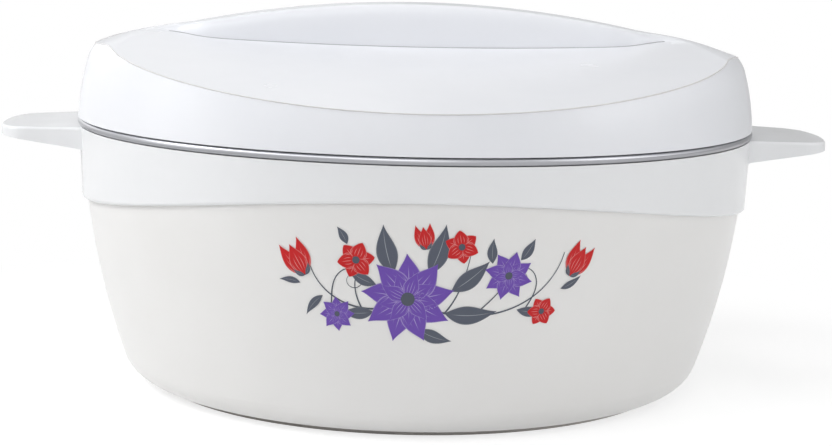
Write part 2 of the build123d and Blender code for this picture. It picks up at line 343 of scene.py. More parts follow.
@dataclass(frozen=True)
class RigidFoam:
    """Cream closed-cell foam with small cells."""

    name: str
    colour: Colour = (0.72, 0.62, 0.42)
    shade: float = 0.85
    roughness: float = 0.85
    cloud_size: float = 20 * MM
    cell_size: float = 1.2 * MM
    cell_depth: float = 0.3 * MM

    def build(self) -> bpy.types.Material:
        """Builds the foam.

        Returns:
            The material.
        """
        graph = MaterialGraph(self.name)
        cells = {"Vector": graph.place(), "Scale": 1.0 / self.cell_size}
        relief = graph.add("ShaderNodeTexVoronoi", {}, cells, "Distance")
        cloud = graph.noise(self.cloud_size, detail=3.0)
        return graph.finish(
            {
                "Base Color": graph.mix(cloud, self.colour, _darker(self.colour, self.shade)),
                "Roughness": self.roughness,
                "Normal": graph.bump(relief, self.cell_depth),
            }
        )


@dataclass(frozen=True)
class PrintInk:
    """Printed ink with a faint speckle, pale veins along each petal or leaf and a paler rim.

    Veins and rim follow the UV map, which runs across and along each printed shape, and are given
    as shares of its half width and length.
    """

    name: str
    colour: Colour
    vein_colour: Colour
    vein_gap: float = 0.2
    vein_width: float = 0.045
    vein_end: float = 0.78
    rim: float = 0.5
    roughness: float = 0.34
    specular: float = 0.35
    vein_root: Range = (0.1, 0.3)
    vein_fade: float = 0.25
    vein_sweep: float = 0.35
    vein_strength: float = 0.8
    rim_edges: Range = (0.86, 1.0)
    speckle_size: float = 0.5 * MM
    speckle_edges: Range = (0.3, 0.62)
    speckle_share: float = 0.12
    speckle_shade: float = 0.75

    def build(self) -> bpy.types.Material:
        """Builds the ink.

        Returns:
            The material.
        """
        graph = MaterialGraph(self.name)
        side, along, _ = graph.axes(graph.add("ShaderNodeTexCoord", {}, {}, "UV"))
        across = side * 2.0  # from 0 at one edge to 2 at the other
        off_middle = (across - 1.0).size()
        line = across.folded(self.vein_gap).step(self.vein_gap - self.vein_width, self.vein_gap)
        swept = along + off_middle * self.vein_sweep
        reach = swept.step(self.vein_end, self.vein_end - self.vein_fade)
        veins = line * reach * along.step(*self.vein_root)
        rim = off_middle.step(*self.rim_edges) * self.rim
        speckle = graph.noise(self.speckle_size, detail=2.0).step(*self.speckle_edges)
        ground = _darker(self.colour, self.speckle_shade)
        ink = graph.mix(speckle * self.speckle_share, self.colour, ground)
        pale = (veins * self.vein_strength + rim).clamped()
        return graph.finish(
            {
                "Base Color": graph.mix(pale, ink, self.vein_colour),
                "Roughness": self.roughness,
                "Specular IOR Level": self.specular,
            }
        )


class Finish(Enum):
    """The casserole's finishes: lines of painted shade on the lid, and inks printed on the shell.
    """

    LID_PLASTIC = MouldedPlastic("lid_white_plastic", (0.855, 0.868, 0.905), (0.84, 0.855, 0.895))
    COLLAR_PLASTIC = MouldedPlastic(
        "collar_white_plastic", (0.85, 0.86, 0.875), (0.84, 0.85, 0.865)
    )
    SHELL_PLASTIC = MouldedPlastic(
        "shell_white_plastic", (0.845, 0.84, 0.83), (0.83, 0.824, 0.812), roughness=0.3
    )
    LINER_PLASTIC = MouldedPlastic(
        "liner_white_plastic", (0.83, 0.83, 0.83), (0.81, 0.81, 0.81), roughness=0.34
    )
    # White plastic darkened to paint the shade under the casserole's foot.
    BASE_PLASTIC = MouldedPlastic(
        "base_grey_white_plastic", (0.62, 0.585, 0.56), (0.59, 0.555, 0.53), roughness=0.4
    )
    BOWL_STEEL = SpunSteel("spun_steel")
    FOAM = RigidFoam("cream_foam")
    VIOLET_INK = PrintInk("violet_ink", (0.150, 0.068, 0.420), (0.60, 0.52, 0.74))
    RED_INK = PrintInk("red_ink", (0.58, 0.004, 0.006), (0.86, 0.52, 0.50))
    LEAF_INK = PrintInk(
        "slate_leaf_ink",
        (0.092, 0.105, 0.140),
        (0.50, 0.53, 0.56),
        vein_gap=1.0,
        vein_width=0.05,
        vein_end=1.0,
        rim=0.25,
    )
    # Grey of the line that paints the shade along the crease where the lid's wall meets its top.
    CREASE_LINE = MouldedPlastic(
        "crease_line_grey", (0.72, 0.712, 0.712), (0.69, 0.682, 0.682), roughness=0.4
    )
    # Darker grey of the lines that paint the shade in the crevice along the ridge's foot.
    RIDGE_LINE = MouldedPlastic(
        "ridge_line_grey", (0.46, 0.46, 0.48), (0.43, 0.43, 0.45), roughness=0.4
    )
    STEM_INK = PrintInk(
        "dark_stem_ink",
        (0.075, 0.088, 0.118),
        (0.2, 0.22, 0.26),
        vein_gap=1.0,
        vein_width=0.0,
        vein_end=0.2,
        rim=0.0,
    )

    @property
    def slot(self) -> str:
        """Name of the record's material slot."""
        owners = {"LINE": "lid_plastic", "INK": "shell_plastic"}
        return owners.get(self.name.rsplit("_", 1)[-1], self.name.lower())


Materials = dict[Finish, bpy.types.Material]


# ---------------------------------------------------------------- studio
def _direction(azimuth: float, elevation: float = 0.0) -> Vector:
    """Direction away from the axis, with both angles in degrees."""
    turn, rise = math.radians(azimuth), math.radians(elevation)
    return Vector(
        (math.cos(rise) * math.sin(turn), -math.cos(rise) * math.cos(turn), math.sin(rise))
    )


@dataclass(frozen=True)
class Softbox:
    """A square lamp that points at the casserole; its power is in watts, its lengths in metres."""

    name: str
    azimuth: float
    elevation: float
    power: float
    width: float = 1.0
    distance: float = 2.2

    def build(self, target: Vector) -> None:
        """Adds the lamp.

        Args:
            target: The point that it faces.
        """
        away = _direction(self.azimuth, self.elevation)
        light = bpy.data.lights.new(self.name, "AREA")
        light.shape = "SQUARE"
        light.size = self.width
        light.energy = self.power
        lamp = bpy.data.objects.new(self.name, light)
        bpy.context.scene.collection.objects.link(lamp)
        lamp.location = target + self.distance * away
        lamp.rotation_mode = "QUATERNION"
        lamp.rotation_quaternion = (-away).to_track_quat("-Z", "Y")


@dataclass(frozen=True)
class Card:
    """An upright grey card, in metres, that stands on the floor and that only reflections see."""

    name: str
    azimuth: float
    distance: float
    width: float
    height: float
    shade: float

    def build(self) -> None:
        """Adds the card, facing the axis."""
        bpy.ops.object.select_all(action="DESELECT")
        bpy.ops.mesh.primitive_plane_add(size=1)
        card = bpy.context.object
        card.name = self.name
        away = _direction(self.azimuth)
        middle, along = away * self.distance, UP.cross(away) * self.width
        for vertex in card.data.vertices:
            rise = (vertex.co.y + 0.5) * self.height
            vertex.co = middle + along * vertex.co.x + UP * rise
        graph = MaterialGraph(self.name)
        glow = graph.add("ShaderNodeEmission", {}, {"Color": _grey(self.shade)})
        card.data.materials.append(graph.close(glow))
        card.visible_camera = False
        card.visible_diffuse = False
        card.visible_shadow = False


@dataclass(frozen=True)
class Viewpoint:
    """The camera: its place in metres, its turns in radians and its lens in millimetres."""

    place: Place = (-24.2 * MM, -811.4 * MM, 187.9 * MM)
    yaw: float = 0.0314
    pitch: float = 0.1541
    roll: float = 0.024
    lens: float = 86.93
    sensor: float = 36.0

    def build(self) -> None:
        """Adds the camera and makes it the scene's own."""
        data = bpy.data.cameras.new("camera")
        data.lens = self.lens
        data.sensor_width = self.sensor
        camera = bpy.data.objects.new("camera", data)
        bpy.context.scene.collection.objects.link(camera)
        level = math.cos(self.pitch)
        forward = Vector(
            (math.sin(self.yaw) * level, math.cos(self.yaw) * level, -math.sin(self.pitch))
        )
        level_right = forward.cross(UP).normalized()
        level_up = level_right.cross(forward)
        right = level_right * math.cos(self.roll) + level_up * math.sin(self.roll)
        up = level_up * math.cos(self.roll) - level_right * math.sin(self.roll)
        turn = Matrix((right, up, -forward)).transposed().to_4x4()
        camera.matrix_world = Matrix.Translation(self.place) @ turn
        bpy.context.scene.camera = camera


@dataclass(frozen=True)
class Studio:
    """Pale floor, grey cards, white surround, soft lamps and the camera, in metres."""

    floor_size: float = 6.0
    floor_bounce: float = 0.86
    floor_shade: float = 0.4
    floor_glow: float = 0.72
    floor_fade: Range = (0.15, 0.3)
    surround_light: float = 0.0
    target: Place = (0.0, 0.0, 75 * MM)
    viewpoint: Viewpoint = Viewpoint()
    lamps: tuple[Softbox, ...] = (
        Softbox("left_key", -90.0, 38.0, 22.0),
        Softbox("left_front", -50.0, 38.0, 8.0),
        Softbox("front", -10.0, 38.0, 11.0),
        Softbox("overhead", 0.0, 88.0, 11.0, width=1.2),
        Softbox("right_high", 70.0, 38.0, 7.5),
        Softbox("right_low", 65.0, 8.0, 9.0),
        Softbox("right_side", 90.0, 8.0, 4.4),
        Softbox("left_low", -85.0, 8.0, 4.5),
        Softbox("front_low", 0.0, 8.0, 1.8),
        Softbox("back_left", -145.0, 20.0, 3.5),
        Softbox("back_right", 145.0, 20.0, 3.0),
    )
    cards: tuple[Card, ...] = (
        Card("right_card", 90.0, distance=1.0, width=1.7, height=0.28, shade=0.52),
        Card("back_card", 165.0, distance=1.1, width=1.7, height=0.3, shade=0.35),
        Card("right_back_card", 149.0, distance=1.0, width=1.15, height=0.62, shade=0.46),
    )

    def build(self) -> None:
        """Builds the whole studio."""
        self._floor()
        for card in self.cards:
            card.build()
        self._world()
        for lamp in self.lamps:
            lamp.build(Vector(self.target))
        self.viewpoint.build()
        bpy.context.scene.view_settings.view_transform = "Standard"

    def _floor(self) -> None:
        """Adds the floor: white to the camera away from the casserole, and shadowed near it."""
        bpy.ops.mesh.primitive_plane_add(size=self.floor_size, location=(0, 0, 0))
        floor = bpy.context.object
        floor.name = "floor"
        graph = MaterialGraph("pale_floor")
        plain = graph.add("ShaderNodeBsdfDiffuse", {}, {"Color": _grey(self.floor_bounce)})
        shaded = graph.add("ShaderNodeBsdfDiffuse", {}, {"Color": _grey(self.floor_shade)})
        glow = graph.add("ShaderNodeEmission", {}, {"Strength": self.floor_glow})
        near = graph.add("ShaderNodeAddShader", {}, {0: shaded, 1: glow})
        far = graph.add("ShaderNodeEmission", {}, {"Strength": 1.0})
        place, length = {0: graph.place()}, {"operation": "LENGTH"}
        away = graph.add("ShaderNodeVectorMath", length, place, "Value")
        seen = graph.blend(away.step(*self.floor_fade), near, far)
        surface = graph.blend(graph.seen_directly(), plain, seen)
        floor.data.materials.append(graph.close(surface))

    def _world(self) -> None:
        """Makes a surround that the camera and reflections see as white."""
        world = bpy.data.worlds.new("surround")
        bpy.context.scene.world = world
        world.use_nodes = True
        graph = Graph(world.node_tree)
        fill, white = (
            graph.add("ShaderNodeBackground", {}, {"Color": _grey(1.0), "Strength": strength})
            for strength in (self.surround_light, 1.0)
        )
        surface = graph.blend(graph.seen_directly(), fill, white)
        graph.add("ShaderNodeOutputWorld", {}, {"Surface": surface})


# ---------------------------------------------------------------- frame pieces
@dataclass(frozen=True)
class FramePiece:
    """A CAD node that shows as it is, with a finish of its own."""

    node: str
    finish: Finish

    def build(self, nodes: dict[str, bpy.types.Object], materials: Materials) -> None:
        """Dresses the node.

        Args:
            nodes: The frame's nodes by name.
            materials: The finished materials.
        """
        for slot in nodes[self.node].material_slots:
            slot.material = materials[self.finish]
        LOG.info("%s dressed with %s", self.node, materials[self.finish].name)


FRAME_PIECES = (
    FramePiece("lid_insulation", Finish.FOAM),
    FramePiece("lid_liner", Finish.LINER_PLASTIC),
    FramePiece("handle_collar", Finish.COLLAR_PLASTIC),
    FramePiece("outer_shell", Finish.SHELL_PLASTIC),
    FramePiece("body_insulation", Finish.FOAM),
    # The base plate's darker colour is painted shade under the foot.
    FramePiece("base_plate", Finish.BASE_PLASTIC),
    FramePiece("filling_plug", Finish.BASE_PLASTIC),
)


# ---------------------------------------------------------------- modelled pieces
def _beside(point: Point, distance: float, angle: float) -> Point:
    """Point at a distance from another, at an angle in degrees."""
    turn = math.radians(angle)
    return point[0] + distance * math.cos(turn), point[1] + distance * math.sin(turn)


def _arc(centre: Point, radius: float, start: float, end: float, steps: int) -> list[Point]:
    """Points of an arc from one angle to another, in a number of steps, both ends included."""
    angles = [start + (end - start) * step / steps for step in range(steps + 1)]
    return [_beside(centre, radius, angle) for angle in angles]


def _line(start: Point, end: Point, steps: int) -> list[Point]:
    """Points that divide a straight line into a number of steps, without its ends."""
    shares, run, rise = range(1, steps), end[0] - start[0], end[1] - start[1]
    return [(start[0] + run * (step / steps), start[1] + rise * (step / steps)) for step in shares]


def _skinned(name: str, loops: Sequence[Sequence[Sequence[float]]]) -> bpy.types.Object:
    """Makes a piece over loops of points, merges its seams and poles and closes its ends.

    Args:
        name: The piece's name.
        loops: Loops in order along the piece, each with its first point again at its end.

    Returns:
        The closed piece.
    """
    columns, rows = len(loops) - 1, len(loops[0]) - 1
    bpy.ops.object.select_all(action="DESELECT")
    bpy.ops.mesh.primitive_grid_add(x_subdivisions=columns, y_subdivisions=rows, size=2)
    piece = bpy.context.object
    piece.name = name
    for vertex in piece.data.vertices:
        column = round((vertex.co.x + 1) / 2 * columns)
        row = round((vertex.co.y + 1) / 2 * rows)
        vertex.co = Vector(loops[column][row]) * MM
    bpy.ops.object.mode_set(mode="EDIT")
    bpy.ops.mesh.select_all(action="SELECT")
    bpy.ops.mesh.remove_doubles(threshold=WELD)
    bpy.ops.mesh.fill_holes(sides=0)
    bpy.ops.mesh.select_all(action="SELECT")
    bpy.ops.mesh.normals_make_consistent(inside=False)
    bpy.ops.object.mode_set(mode="OBJECT")
    return piece


def _turned(name: str, profile: Sequence[Point], around: int) -> bpy.types.Object:
    """Turns a profile round the axis into a closed piece.

    Args:
        name: The piece's name.
        profile: Radius and height of its points.
        around: Number of faces round the axis.

    Returns:
        The closed piece.
    """
    turns = [math.tau * (step % around + 0.5) / around for step in range(around + 1)]
    rays = [(math.cos(turn), math.sin(turn)) for turn in turns]
    return _skinned(name, [[(r * x, r * y, height) for x, y in rays] for r, height in profile])


def _dress(
    piece: bpy.types.Object, material: bpy.types.Material, body: str, angle: float
) -> None:
    """Finishes a modelled piece.

    Args:
        piece: The piece.
        material: Its material.
        body: The body that carries it.
        angle: Edges sharper than this stay sharp, in degrees.
    """
    bpy.ops.object.select_all(action="DESELECT")
    piece.select_set(True)
    bpy.context.view_layer.objects.active = piece
    bpy.ops.object.shade_smooth_by_angle(angle=math.radians(angle))
    bpy.ops.object.select_all(action="DESELECT")
    piece.data.materials.clear()
    piece.data.materials.append(material)
    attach(piece, body)
    LOG.info("%s: %d faces", piece.name, len(piece.data.polygons))


@dataclass(frozen=True)
class SteelBowl:
    """The spun steel bowl with its rolled rim.

    Floor and radii are the inside's, and corner, mouth and bead are the centres of its bends.
    """

    sheet: float = 0.7
    lean: float = 78.4
    floor: tuple[Point, ...] = (
        *((0.0, 18.5), (30.0, 18.5), (59.0, 18.5), (60.0, 18.5)),
        *((62.0, 17.5), (63.0, 17.5), (75.0, 17.5)),
    )
    corner: Point = (85.32, 35.5)
    corner_radius: float = 18.0
    wall_top: Point = (117.61, 103.08)
    mouth: Point = (119.96, 102.6)
    mouth_radius: float = 2.4
    bead: Point = (133.6, 103.6)
    bead_radius: float = 1.4
    bead_end: float = -210.0
    around: int = 240
    sharp_angle: float = 50.0

    def profile(self) -> list[Point]:
        """Goes along the inside from the axis to the bead, and back along the outside.

        Returns:
            Radius and height of its points.
        """
        level, wall, mouth = -90.0, self.lean - 90.0, self.lean + 90.0
        points = [*self.floor, *_arc(self.corner, self.corner_radius, level, wall, steps=14)]
        points += _line(points[-1], self.wall_top, steps=12)
        points += _arc(self.mouth, self.mouth_radius, mouth, 90.0, steps=8)
        points += _line(points[-1], (self.bead[0], self.bead[1] + self.bead_radius), steps=6)
        points += _arc(self.bead, self.bead_radius, 90.0, self.bead_end, steps=30)
        points += _arc(self.mouth, self.mouth_radius - self.sheet, 90.0, mouth, steps=8)
        points += _arc(self.corner, self.corner_radius + self.sheet, wall, level, steps=14)
        return points + [(radius, height - self.sheet) for radius, height in reversed(self.floor)]

    def build(self, material: bpy.types.Material) -> None:
        """Makes the bowl in place of its CAD node.

        Args:
            material: The steel.
        """
        bowl = _turned("steel_bowl", self.profile(), self.around)
        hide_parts("inner_bowl")
        _dress(bowl, material, "casserole", self.sharp_angle)


class Cut(Enum):
    """What a tool does to the piece that it cuts."""

    KEEP_SHARED = "INTERSECT"
    TAKE_AWAY = "DIFFERENCE"

    def make(self, piece: bpy.types.Object, tool: bpy.types.Object) -> None:
        """Cuts a piece and removes the tool.

        Args:
            piece: The piece.
            tool: The closed piece that it is cut with.
        """
        cut = piece.modifiers.new("cut", "BOOLEAN")
        cut.operation = self.value
        cut.object = tool
        cut.solver = "EXACT"
        bpy.context.view_layer.objects.active = piece
        bpy.ops.object.modifier_apply(modifier=cut.name)
        bpy.data.objects.remove(tool)


@dataclass(frozen=True)
class RidgeSection:
    """The lid's ridge cut across: its half width, top, foot and the exponent of its arch."""

    half_width: float
    top: float
    foot: float
    fullness: float

    def height(self, y: float) -> float:
        """Height of the arch at a distance from the middle."""
        drop = (abs(y) / self.half_width) ** self.fullness
        return self.foot + (self.top - self.foot) * (1 - drop)

    def arch(self, inset: float, steps: int) -> list[Point]:
        """Points of one side from top to foot, closer together near the top.

        Args:
            inset: Distance inside the outer face.
            steps: Number of segments.

        Returns:
            Distance from the middle and height of the points.
        """
        half_width, rise = self.half_width - inset, self.top - self.foot
        turns = [math.pi / 2 * (step / steps) ** 2 for step in range(steps + 1)]
        return [
            (
                half_width * math.sin(turn) ** (2 / self.fullness),
                self.foot - inset + rise * math.cos(turn) ** 2,
            )
            for turn in turns
        ]


@dataclass(frozen=True)
class LidCover:
    """The lid's cover: a leaning wall and shoulder cut by two scoops, with a ridge between them.

    The wall is an arc of radius bulge and the shoulder an arc of radius shoulder, each with its
    turn in degrees. The ridge narrows to a prow at each end, where it meets a crest that spreads.
    The top is cut with a block that has the scoops and the ridge on its upper side.
    """

    foot: Point = (134.8, 105.3)
    lean: float = 2.3
    bulge: float = 94.0
    bulge_turn: float = 14.2
    shoulder: float = 13.0
    shoulder_turn: float = 33.5
    wall: float = 2.5
    inside_depth: float = 8.0
    inside_flare: float = 0.3
    scoop_height: float = 136.3
    scoop_slope: float = 0.124
    scoop_curve: float = 1650.0
    ridge_top: float = 151.3
    ridge_arch: float = 426.0
    ridge_half_width: float = 14.2
    ridge_fullness: float = 16.0
    prow_middle: float = 91.0
    prow_taper: float = 4.0
    prow_half_width: float = 2.5
    crest_height: float = 141.6
    crest_top: float = 85.2
    crest_radius: float = 106.0
    crest_blend: float = 0.6
    crest_start: float = 109.0
    crest_spread: float = 5.5
    crest_round: float = 5.0
    crease_least: float = 60.0
    crease_halvings: int = 40
    block_reach: float = 150.0
    block_foot: float = 80.0
    block_stations: int = 232
    arch_steps: int = 24
    scoop_steps: int = 22
    around: int = 288
    inside_around: int = 96
    sharp_angle: float = 25.0

    def profile(self, inset: float) -> list[Point]:
        """Profile of the wall and shoulder, carried on straight to the axis.

        Args:
            inset: Distance inside the outer face.

        Returns:
            Radius and height of its points.
        """
        middle = self.lean + self.bulge_turn
        last = middle + self.shoulder_turn
        centre = _beside(self.foot, -self.bulge, self.lean)
        crown = _beside(centre, self.bulge - self.shoulder, middle)
        wall = _arc(centre, self.bulge - inset, self.lean, middle, steps=18)
        bend = _arc(crown, self.shoulder - inset, middle, last, steps=12)
        peak = (0.0, bend[-1][1] + bend[-1][0] / math.tan(math.radians(last)))
        start = [(0.0, self.foot[1])]
        if inset:
            low = self.foot[1] - self.inside_depth
            start = [(0.0, low), (wall[0][0] + self.inside_flare, low)]
        return [*start, *wall, *bend[1:], *_line(bend[-1], peak, steps=24), peak]

    def section(self, x: float) -> RidgeSection:
        """Ridge's section at a distance from the middle.

        Args:
            x: The distance.

        Returns:
            The section.
        """
        out = abs(x)
        squareness = 1 / (1 + math.exp((out - self.prow_middle) / self.prow_taper))
        ridge = self.ridge_top - out**2 / (2 * self.ridge_arch)
        crest = self.crest_height - (out - self.crest_top) ** 2 / (2 * self.crest_radius)
        top = (ridge + crest + math.hypot(ridge - crest, self.crest_blend)) / 2
        past = out - self.crest_start
        spread = self.crest_spread / 2 * (past + math.hypot(past, self.crest_round))
        narrowing = (self.ridge_half_width - self.prow_half_width) * squareness
        half_width = self.prow_half_width + narrowing + spread
        fullness = ROUND_ARCH + (self.ridge_fullness - ROUND_ARCH) * squareness
        return RidgeSection(half_width, top, self.scoop(x, half_width), fullness)

    def scoop(self, x: float, y: float) -> float:
        """Height of the scoops at a place."""
        return self.scoop_height - self.scoop_slope * abs(y) + x * x / (2 * self.scoop_curve)

    def height(self, x: float, y: float) -> float:
        """Height of the lid's top at a place, over its scoops, ridge and crests."""
        section = self.section(x)
        return self.scoop(x, y) if abs(y) >= section.half_width else section.height(y)

    def radius(self, z: float) -> float:
        """Outer radius of the wall.

        Args:
            z: Height above the table.

        Returns:
            The radius there, or the foot's for a height outside the wall.
        """
        points = self.profile(0.0)[1:]
        for (r0, z0), (r1, z1) in zip(points, points[1:]):
            if z0 <= z <= z1:
                return r0 + (r1 - r0) * (z - z0) / (z1 - z0)
        return points[0][0]

    def crease(self, turn: float) -> Vector:
        """Finds by halving where the wall meets the top.

        Args:
            turn: Direction of the point round the axis, in radians.

        Returns:
            The point.
        """
        low, high = self.crease_least, self.foot[0]
        for _ in range(self.crease_halvings):
            middle = (low + high) / 2
            z = self.height(middle * math.cos(turn), middle * math.sin(turn))
            low, high = (middle, high) if self.radius(z) > middle else (low, middle)
        x, y = low * math.cos(turn), low * math.sin(turn)
        return Vector((x, y, self.height(x, y)))

    def build(self, material: bpy.types.Material) -> None:
        """Makes the cover in place of its CAD node.

        Args:
            material: The lid's plastic.
        """
        cover = _turned("cover_shell", self.profile(0.0), self.around)
        Cut.KEEP_SHARED.make(cover, self._block("under_top", 0.0))
        inside = _turned("inside", self.profile(self.wall), self.inside_around)
        Cut.KEEP_SHARED.make(inside, self._block("under_inside", self.wall))
        Cut.TAKE_AWAY.make(cover, inside)
        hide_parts("lid_cover")
        _dress(cover, material, "lid", self.sharp_angle)

    def _block(self, name: str, inset: float) -> bpy.types.Object:
        """Makes the block under the lid's top.

        Args:
            name: The block's name.
            inset: Distance under the top.

        Returns:
            The closed block.
        """
        sections = []
        for station in range(self.block_stations + 1):
            x = self.block_reach * (2 * station / self.block_stations - 1)
            section = self.section(x)
            drop = self.scoop_slope * (self.block_reach - section.half_width)
            edge = (self.block_reach, section.foot - inset - drop)
            arch = section.arch(inset, self.arch_steps)
            scoop = _line(arch[-1], edge, self.scoop_steps)
            half = [*arch, *scoop, edge, (self.block_reach, self.block_foot)]
            loop = [(-y, z) for y, z in reversed(half[1:])] + half
            sections.append([(x, y, z) for y, z in [*loop, loop[0]]])
        return _skinned(name, sections)


@dataclass(frozen=True)
class Thread:
    """A thin closed strand along a curve, such as a line of painted shade."""

    name: str
    half_width: float
    finish: Finish
    sides: int = 6
    sharp_angle: float = 80.0

    def build(self, path: Sequence[Vector], closed: bool, materials: Materials, body: str) -> None:
        """Makes the strand.

        Args:
            path: Its centre line.
            closed: Whether the path comes back to its start.
            materials: The finished materials.
            body: The body that carries it.
        """
        count = len(path)
        turns = [math.tau * side / self.sides for side in range(self.sides)]
        rings = []
        for number, point in enumerate(path):
            before = path[(number - 1) % count] if closed or number else point
            after = path[(number + 1) % count] if closed or number + 1 < count else point
            ahead = (after - before).normalized()
            across = ahead.cross(UP).normalized()
            above = across.cross(ahead)
            spokes = [across * math.cos(turn) + above * math.sin(turn) for turn in turns]
            ring = [point + self.half_width * spoke for spoke in spokes]
            rings.append([*ring, ring[0]])
        if closed:
            rings.append(rings[0])
        strand = _skinned(self.name, rings)
        _dress(strand, materials[self.finish], body, self.sharp_angle)


@dataclass(frozen=True)
class ShadeLines:
    """Grey lines of painted shade on the lid: round the crease of the wall, and along both sides of
    the ridge.
    """

    cover: LidCover
    crease_half_width: float = 0.28
    crease_points: int = 360
    ridge_half_width: float = 0.2
    ridge_reach: int = 99
    ridge_lift: float = 0.05

    def build(self, materials: Materials) -> None:
        """Makes the three lines.

        Args:
            materials: The finished materials.
        """
        steps = range(self.crease_points)
        crease = [self.cover.crease(math.tau * (step + 0.5) / self.crease_points) for step in steps]
        # Painted shade round the crease of the wall.
        line = Thread("crease_line", self.crease_half_width, Finish.CREASE_LINE)
        line.build(crease, True, materials, "lid")
        # Painted shade along both sides of the ridge's foot.
        for name, side in (("front_ridge_line", -1.0), ("back_ridge_line", 1.0)):
            foot = [self._foot(x, side) for x in range(-self.ridge_reach, self.ridge_reach + 1)]
            line = Thread(name, self.ridge_half_width, Finish.RIDGE_LINE)
            line.build(foot, False, materials, "lid")

    def _foot(self, x: float, side: float) -> Vector:
        """Point just off the ridge's foot, at the front for side -1 and at the back for 1."""
        section, lift = self.cover.section(x), self.ridge_lift
        return Vector((x, side * (section.half_width + lift), section.foot + lift))


# ---------------------------------------------------------------- printed spray
SPRAY_AROUND = 4.0  # the spray's middle, as a distance round the wall from its front
SPRAY_HEIGHT = 58.0  # the spray's middle above the table
INK_LIFT = 0.06  # gap under the lowest print
INK_STEP = 0.03  # thickness of a print, and rise from one layer to the next


class Layer(IntEnum):
    """Place in the stack of prints. Petals in a round take turns between theirs and the next."""

    STEM = 0
    LEAF = 1
    PETAL = 3
    FRONT_PETAL = 4
    OVER_PETALS = 5
    HEART = 7


@dataclass(frozen=True)
class ShellWall:
    """Outer face of the tapered shell, an arc from its foot to its edge, which bears the print."""

    foot: Point = (116.692, 10.567)
    lean: float = math.radians(19.0)
    edge: Point = (132.8, 93.0)

    def radius(self, height: float) -> float:
        """Radius of the wall.

        Args:
            height: Height above the table.

        Returns:
            The wall's radius there.
        """
        run, rise = self.edge[0] - self.foot[0], self.edge[1] - self.foot[1]
        across = (-math.cos(self.lean), math.sin(self.lean))
        bend = (run * run + rise * rise) / (2 * (run * across[0] + rise * across[1]))
        centre = (self.foot[0] + bend * across[0], self.foot[1] + bend * across[1])
        return centre[0] + math.sqrt(bend * bend - (height - centre[1]) ** 2)

    def drape(self, around: float, height: float, lift: float) -> Vector:
        """Lays a point of the flat print on the wall.

        Args:
            around: Distance round the wall from its front, towards +X.
            height: Height above the table.
            lift: Distance outside the wall.

        Returns:
            The point, in metres.
        """
        turn = around / self.radius(SPRAY_HEIGHT)
        reach = self.radius(height) + lift
        return Vector((reach * math.sin(turn), -reach * math.cos(turn), height)) * MM


class Outline(Enum):
    """How a printed shape's half width runs along it.

    A petal and a leaf have the exponents that place their belly and sharpen their ends, and a stem
    has the share of its width that it loses.
    """

    PETAL = (0.62, 0.75)
    LEAF = (0.8, 1.25)
    STEM = 0.7
    DOT = None

    def width(self, along: float) -> float:
        """Share of the half width at a place.

        Args:
            along: Share of the length, from 0 to 1.

        Returns:
            The share, from 0 to 1.
        """
        if self is Outline.STEM:
            return 1.0 - self.value * along
        if self is Outline.DOT:
            return math.sqrt(max(0.0, 1.0 - (2.0 * along - 1.0) ** 2))
        belly, sharpness = self.value
        return math.sin(math.pi * along**belly) ** sharpness


@dataclass(frozen=True)
class Blade:
    """A flat printed shape along a curved centre line on the unrolled wall.

    Over its length the heading changes by bend, evenly, and by curl, more towards the tip.
    """

    start: Point
    heading: float
    length: float
    half_width: float
    outline: Outline
    bend: float = 0.0
    curl: float = 0.0
    curve_steps: int = 24
    columns: int = 8
    rows_per_length: float = 1.2
    least_rows: int = 10
    sharp_angle: float = 40.0

    def place(self, across: float, along: float) -> Point:
        """Finds a point of the shape.

        Args:
            across: Place across the shape, from -1 to 1, with 1 on the right of its heading.
            along: Share of its length.

        Returns:
            The point on the unrolled wall.
        """
        steps = self.curve_steps
        x, y = self.start
        for step in range(steps):
            heading = self._heading((step + 0.5) / steps * along)
            x += self.length * along / steps * math.cos(heading)
            y += self.length * along / steps * math.sin(heading)
        heading = self._heading(along)
        reach = across * self.half_width * self.outline.width(along)
        return x + reach * math.sin(heading), y - reach * math.cos(heading)

    def _heading(self, along: float) -> float:
        """Direction of the centre line, in radians."""
        return math.radians(self.heading + self.bend * along + self.curl * along * along)

    def build(self, name: str, wall: ShellWall, layer: int) -> bpy.types.Object:
        """Makes the shape as a thin closed piece on the wall.

        Args:
            name: The piece's name.
            wall: The wall that carries it.
            layer: Its place in the stack of prints, from 0.

        Returns:
            The new object.
        """
        rows = max(self.least_rows, int(self.length * self.rows_per_length))
        bpy.ops.mesh.primitive_grid_add(
            x_subdivisions=self.columns, y_subdivisions=rows, size=2, calc_uvs=True
        )
        piece = bpy.context.object
        piece.name = name
        lift = INK_LIFT + layer * INK_STEP
        for vertex in piece.data.vertices:
            around, up = self.place(vertex.co.x, (vertex.co.y + 1) / 2)
            vertex.co = wall.drape(SPRAY_AROUND + around, SPRAY_HEIGHT + up, lift)
        bpy.ops.object.mode_set(mode="EDIT")
        bpy.ops.mesh.select_all(action="SELECT")
        bpy.ops.mesh.remove_doubles(threshold=WELD)
        bpy.ops.object.mode_set(mode="OBJECT")
        thickness = piece.modifiers.new("thickness", "SOLIDIFY")
        thickness.thickness = INK_STEP * MM
        thickness.offset = 1.0
        bpy.ops.object.modifier_apply(modifier=thickness.name)
        bpy.ops.object.shade_smooth_by_angle(angle=math.radians(self.sharp_angle))
        return piece


Print = tuple[Finish, int, Blade]  # a shape with its ink and its layer


